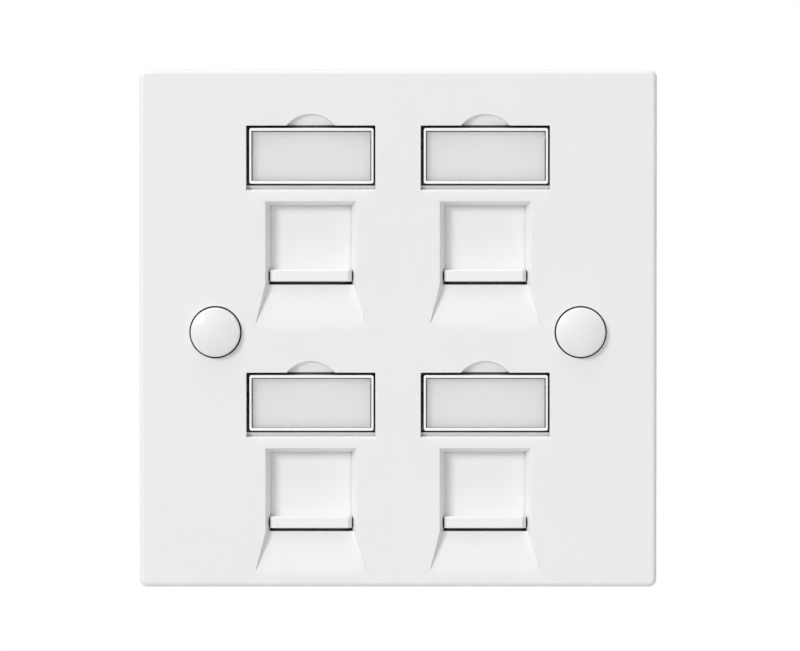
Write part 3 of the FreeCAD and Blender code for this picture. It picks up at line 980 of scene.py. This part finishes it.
class FACEPLATE_OT_screws(bpy.types.Operator):
    """Makes the plated mounting screws under the caps"""

    bl_idname = "faceplate.screws"
    bl_label = "Mounting Screws"

    def execute(self, context):
        material = drawn_steel("zinc_plated_steel", colours().screw, roughness=0.28, streak=0.6 * MM)
        tree = helix_tree()
        s = sizes()
        for side in SIDES:
            node = f"mounting_screw_{side}"
            low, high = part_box(node)
            centre = Vector(((low.x + high.x) / 2, 0, (low.z + high.z) / 2))
            shank = lathed(f"shank_{side}", screw_outline(low.y, high.y), centre)
            mesh = creased(combined(f"screw_{side}", shank, cross_recess(centre, low.y), "DIFFERENCE"))
            start = low.y + s.head_height + s.neck_length
            threaded = high.y - s.screw_point - start
            thread = from_tree(
                f"thread_{side}", tree, turns=threaded / s.thread_pitch, steps_a_turn=24,
                radius=s.thread_width / 2 - s.thread_depth, length=threaded, closed_turns=0.0,
                closed_pitch=0.0, section_sides=4, section_width=THREAD_FLANKS * s.thread_pitch,
                section_height=2 * s.thread_depth, place=(centre.x, start, centre.z),
                turned=(math.radians(-90), 0, 0), material=material,
            )
            form = bmesh.new()
            form.from_mesh(mesh)
            form.from_mesh(thread)
            whole = mesh_of(form, f"threaded_screw_{side}")
            piece = placed(f"threaded_screw_{side}", whole, [material])
            hand_over(piece, "plate", node)
        return {"FINISHED"}


# ---- stage ----
def aim(thing, place, target):
    """Puts a camera or lamp at a place and turns it to a target."""
    thing.location = place
    thing.rotation_euler = (Vector(target) - Vector(place)).to_track_quat("-Z", "Y").to_euler()


def soft_lamp(name, place, target, size, level):
    """A square lamp. Its level is how bright it leaves a white surface that faces it at the target."""
    lamp = bpy.data.lights.new(name, "AREA")
    lamp.size = size
    lamp.energy = level * math.pi**2 * (Vector(place) - Vector(target)).length_squared
    thing = bpy.data.objects.new(name, lamp)
    bpy.context.scene.collection.objects.link(thing)
    aim(thing, place, target)


def seen_rays(tree):
    """1 for rays that show the backdrop: from the camera, in gloss and through clear plastic."""
    rays = add(tree, "ShaderNodeLightPath").outputs
    seen = rays["Is Camera Ray"]
    for kind in ("Is Glossy Ray", "Is Transmission Ray"):
        seen = add(tree, "ShaderNodeMath", {0: seen, 1: rays[kind]}, operation="MAXIMUM").outputs["Value"]
    return seen


def pale_floor():
    """A pale matt floor that shows nearly white and keeps a soft shadow."""
    material, tree = new_material("pale_studio_floor")
    matt = add(tree, "ShaderNodeBsdfDiffuse", {"Color": rgba(colours().floor), "Roughness": 0.5})
    white = add(tree, "ShaderNodeEmission", {"Color": (1, 1, 1, 1), "Strength": 1.0})
    share = add(tree, "ShaderNodeMath", {0: seen_rays(tree), 1: FLOOR_GLOW}, operation="MULTIPLY")
    shader = add(
        tree, "ShaderNodeMixShader",
        {"Fac": share.outputs["Value"], 1: matt.outputs["BSDF"], 2: white.outputs["Emission"]},
    )
    add(tree, "ShaderNodeOutputMaterial", {"Surface": shader.outputs["Shader"]})
    return material


FLOOR_HALF = 1.2  # half the floor's width, in metres


def lay_floor(height):
    """The floor, which isn't part of the faceplate."""
    mesh = bpy.data.meshes.new("studio_floor")
    corners = [(-1, -1), (1, -1), (1, 1), (-1, 1)]
    mesh.from_pydata([(x * FLOOR_HALF, y * FLOOR_HALF, height) for x, y in corners], [], [(0, 1, 2, 3)])
    placed("studio_floor", mesh, [pale_floor()])


def surround(level):
    """White all round where it is seen, and dimmer where it lights."""
    world = bpy.data.worlds.new("white_surround")
    world.use_nodes = True
    tree = world.node_tree
    tree.nodes.clear()
    fill = add(tree, "ShaderNodeBackground", {"Color": (1, 1, 1, 1), "Strength": level})
    white = add(tree, "ShaderNodeBackground", {"Color": (1, 1, 1, 1), "Strength": 1.0})
    mix = add(
        tree, "ShaderNodeMixShader",
        {"Fac": seen_rays(tree), 1: fill.outputs["Background"], 2: white.outputs["Background"]},
    )
    add(tree, "ShaderNodeOutputWorld", {"Surface": mix.outputs["Shader"]})
    return world


def front_camera(target, values):
    """The camera in front of the plate, a little above what it aims at."""
    camera = bpy.data.cameras.new("camera")
    camera.sensor_width = 36.0
    camera.lens = camera.sensor_width * values.camera_distance / values.view_width
    thing = bpy.data.objects.new("camera", camera)
    bpy.context.scene.collection.objects.link(thing)
    tilt = values.camera_height
    back = Vector((0, -math.cos(tilt), math.sin(tilt))) * values.camera_distance
    aim(thing, target + back, target)
    return thing


class FACEPLATE_OT_stage(bpy.types.Operator):
    """Sets the floor, the lamps, the white surround and the camera"""

    bl_idname = "faceplate.stage"
    bl_label = "Stage"

    def execute(self, context):
        values = context.scene.faceplate_stage
        low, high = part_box("front_plate")
        lay_floor(low.z - values.floor_drop)
        face, rim = Vector((0, low.y, 0)), Vector((0, high.y, 0))
        soft_lamp("key_lamp", (-1.60, -2.00, 1.20), face, size=0.80, level=values.key)
        soft_lamp("low_lamp", (0.06, -0.30, -0.13), face, size=0.16, level=values.low)
        soft_lamp("top_lamp", (-0.20, -0.40, 1.60), face, size=0.90, level=values.top)
        soft_lamp("back_lamp", (0.90, 1.80, 1.10), rim, size=0.80, level=values.back)
        scene = context.scene
        scene.world = surround(values.fill)
        scene.camera = front_camera(face + Vector((values.aim_across, 0, values.aim_up)), values)
        scene.view_settings.view_transform = "Standard"
        return {"FINISHED"}


class FACEPLATE_PT_panel(bpy.types.Panel):
    """Lists the faceplate's pieces and values"""

    bl_label = "Keystone Faceplate"
    bl_space_type = "VIEW_3D"
    bl_region_type = "UI"
    bl_category = "Faceplate"

    def draw(self, context):
        for operator in OPERATORS:
            self.layout.operator(operator.bl_idname)
        scene = context.scene
        for group in (scene.faceplate_sizes, scene.faceplate_colours, scene.faceplate_stage):
            box = self.layout.box()
            for name in group.bl_rna.properties.keys():
                if name not in ("rna_type", "name"):
                    box.prop(group, name)


OPERATORS = (
    FACEPLATE_OT_plate,
    FACEPLATE_OT_shutters,
    FACEPLATE_OT_springs,
    FACEPLATE_OT_carriers,
    FACEPLATE_OT_windows,
    FACEPLATE_OT_cards,
    FACEPLATE_OT_caps,
    FACEPLATE_OT_screws,
    FACEPLATE_OT_stage,
)
GROUPS = {
    "faceplate_sizes": FaceplateSizes,
    "faceplate_colours": FaceplateColours,
    "faceplate_stage": FaceplateStage,
}


def register():
    for kind in (*GROUPS.values(), *OPERATORS, FACEPLATE_PT_panel):
        bpy.utils.register_class(kind)
    for name, kind in GROUPS.items():
        setattr(bpy.types.Scene, name, PointerProperty(type=kind))


def unregister():
    for name in GROUPS:
        delattr(bpy.types.Scene, name)
    for kind in reversed((*GROUPS.values(), *OPERATORS, FACEPLATE_PT_panel)):
        bpy.utils.unregister_class(kind)


def main():
    register()
    bpy.ops.faceplate.plate()
    bpy.ops.faceplate.shutters()
    bpy.ops.faceplate.springs()
    bpy.ops.faceplate.carriers()
    bpy.ops.faceplate.windows()
    bpy.ops.faceplate.cards()
    bpy.ops.faceplate.caps()
    bpy.ops.faceplate.screws()
    bpy.ops.faceplate.stage()


if __name__ == "__main__":
    main()
